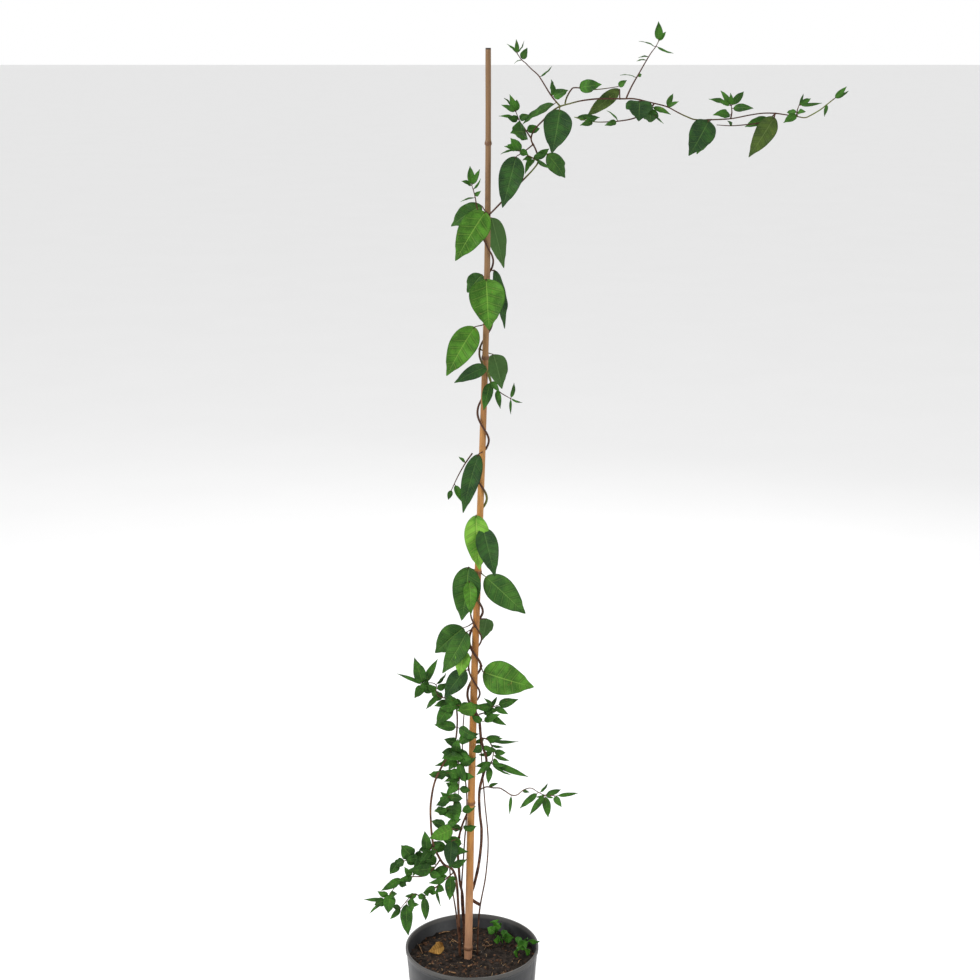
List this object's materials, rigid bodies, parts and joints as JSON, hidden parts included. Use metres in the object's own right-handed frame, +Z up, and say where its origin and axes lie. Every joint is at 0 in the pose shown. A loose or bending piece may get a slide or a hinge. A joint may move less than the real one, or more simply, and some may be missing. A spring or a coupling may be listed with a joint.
{
  "type": "potted climbing honeysuckle plant",
  "caption": "Climbing honeysuckle in a round nursery pot, its twining stems trained up a bamboo cane with a leafy shoot arching from the top.",
  "frame": {"origin": "centre of the pot's underside", "axes": "+Z up along the cane; -Y is the front; +X is the side that the top shoot arches over"},
  "size_m": [0.543, 0.165, 1.252],
  "materials": {
    "pot_plastic": "dark grey moulded plastic, satin",
    "compost": "moist potting compost with bark chips and fibres",
    "bamboo": "dried bamboo, orange-tan, waxy satin",
    "stem_bark": "thin dark purple-brown bark",
    "leaf_dark": "dark green leaf, soft gloss",
    "leaf_mid": "mid green leaf, soft gloss",
    "leaf_bright": "bright green leaf, soft gloss",
    "leaf_lime": "young lime green leaf",
    "leaf_olive": "olive green leaf",
    "leaf_under": "pale grey-green leaf underside",
    "shoot_leaf": "small green leaves on thin brown shoots",
    "weed_leaf": "soft green seedling leaves",
    "dead_leaf": "fallen leaf, yellow-brown, dry"
  },
  "bodies": {
    "root": {"nursery_pot": "pot_plastic", "potting_soil": "compost", "bamboo_cane": "bamboo", "leader_stem": "stem_bark", "left_stem": "stem_bark", "back_stem": "stem_bark", "arc_shoot": "shoot_leaf", "arch_leaf_1": "leaf_olive", "arch_leaf_2": "leaf_dark", "arch_leaf_4": "leaf_dark", "arch_leaf_5": "leaf_mid", "arch_leaf_6": "leaf_olive", "arch_low_twig": "shoot_leaf", "arch_under_shoot": "shoot_leaf", "arch_up_shoot": "shoot_leaf", "base_leaf_1": "leaf_bright", "base_leaf_2": "leaf_dark", "cane_side_shoot": "shoot_leaf", "crown_leaf_1": "leaf_dark", "crown_leaf_2": "leaf_dark", "crown_leaf_3": "leaf_mid", "crown_shoot": "shoot_leaf", "crown_side_shoot": "shoot_leaf", "fallen_leaf": "dead_leaf", "hand_shoot": "shoot_leaf", "inner_left_shoot": "shoot_leaf", "left_low_shoot_1": "shoot_leaf", "left_low_shoot_2": "shoot_leaf", "left_low_shoot_3": "shoot_leaf", "lower_leaf_1": "leaf_mid", "lower_leaf_2": "leaf_mid", "lower_leaf_3": "leaf_bright", "lower_leaf_4": "leaf_lime", "lower_leaf_5": "leaf_dark", "lower_leaf_6": "leaf_under", "lower_leaf_7": "leaf_bright", "mid_left_shoot": "shoot_leaf", "middle_leaf_1": "leaf_dark", "middle_leaf_2": "leaf_lime", "middle_leaf_3": "leaf_dark", "middle_leaf_4": "leaf_mid", "middle_leaf_5": "leaf_mid", "middle_leaf_6": "leaf_bright", "middle_shoot": "shoot_leaf", "right_low_shoot": "shoot_leaf", "right_mid_shoot": "shoot_leaf", "right_twig": "shoot_leaf", "seedling_back": "weed_leaf", "seedling_middle": "weed_leaf", "seedling_right": "weed_leaf", "upper_leaf_1": "leaf_bright", "upper_leaf_2": "leaf_mid", "upper_leaf_3": "leaf_under", "upper_leaf_4": "leaf_bright", "upper_leaf_5": "leaf_mid", "upper_leaf_6": "leaf_dark", "upper_leaf_7": "leaf_bright", "upper_leaf_8": "leaf_dark", "upper_leaf_9": "leaf_under", "upper_small_shoot": "shoot_leaf"}
  },
  "joints": []
}
